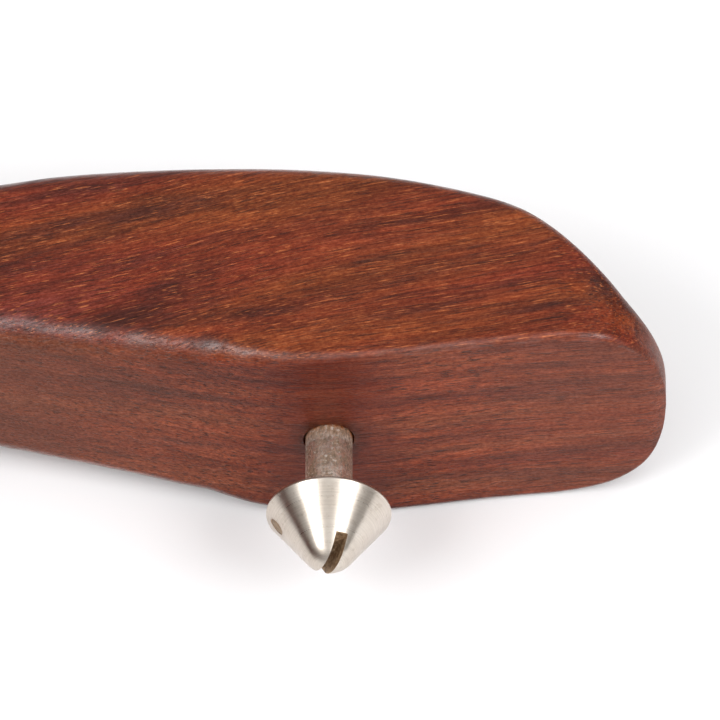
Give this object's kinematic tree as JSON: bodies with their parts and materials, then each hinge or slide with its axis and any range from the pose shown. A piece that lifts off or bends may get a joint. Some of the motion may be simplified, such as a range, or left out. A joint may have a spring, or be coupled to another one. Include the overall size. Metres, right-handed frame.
{
  "type": "leather stitching pony",
  "caption": "Hinged hardwood clamp that holds leather for hand stitching, with an adjustable coned stud, a keyhole lock and a spring that opens the jaws.",
  "frame": {"origin": "centre of the tail's end face, which is bolted to a seat board or bench", "axes": "+X from the tail towards the lips, +Z across the jaws' width, and the second jaw opens towards -Y"},
  "size_m": [0.3124, 0.1971, 0.0498],
  "materials": {
    "hardwood": "oiled reddish-brown hardwood with dark streaks",
    "hardwood_plug": "oiled hardwood plug",
    "brass_parts": "machined brass",
    "bronze_parts": "machined bearing bronze",
    "steel_pin": "ground steel",
    "steel_plate": "brushed steel plate",
    "steel_screws": "plain steel screws",
    "spring_steel": "blued spring steel strip",
    "aged_steel": "mottled brown-grey mild steel rod",
    "turned_steel": "turned steel with fine tool rings",
    "dark_steel": "browned steel",
    "black_knob": "matt black thumb knob"
  },
  "bodies": {
    "stand": {"stud_jaw": "hardwood", "stud_insert": "brass_parts", "insert_plug": "hardwood_plug", "hinge_pin": "steel_pin", "pin_end_screw": "steel_pin", "cheek_plate_upper": "steel_plate", "cheek_plate_lower": "steel_plate", "cheek_screws": "steel_screws", "thrust_washers": "bronze_parts", "tail_inserts": "brass_parts", "spread_spring": "spring_steel", "spring_screws": "steel_screws"},
    "rod": {"stud_rod": "aged_steel"},
    "cone": {"stud_cone": "turned_steel", "cone_grub_screw": "dark_steel"},
    "swing_jaw": {"latch_jaw": "hardwood", "hinge_bush": "bronze_parts", "receiver_plate": "steel_plate", "receiver_screws": "steel_screws"},
    "lock": {"lock_slide": "steel_plate", "lock_knob": "black_knob", "knob_screw": "steel_screws"}
  },
  "joints": [
    {"name": "jaw_hinge", "type": "hinge", "parent": "stand", "child": "swing_jaw", "pos_m": [0.045, -0.006, 0], "axis": [0, 0, 1], "range_deg": [-8, 30], "stiffness_Nm_per_rad": 0.8, "deforming": ["spread_spring"]},
    {"name": "stud_travel", "type": "slide", "parent": "stand", "child": "rod", "axis": [0, -1, 0], "range_m": [0, 0.005]},
    {"name": "stud_turn", "type": "hinge", "parent": "rod", "child": "cone", "pos_m": [0.255, -0.011, -0.0007], "axis": [0, -1, 0], "range_deg": [0, 1440]},
    {"name": "lock_travel", "type": "slide", "parent": "swing_jaw", "child": "lock", "axis": [-0.866, 0.5, 0], "range_m": [0, 0.012]}
  ],
  "couplings": [
    {"joint": "stud_turn", "follows": "stud_travel", "rad_per_m": 5026.5}
  ]
}
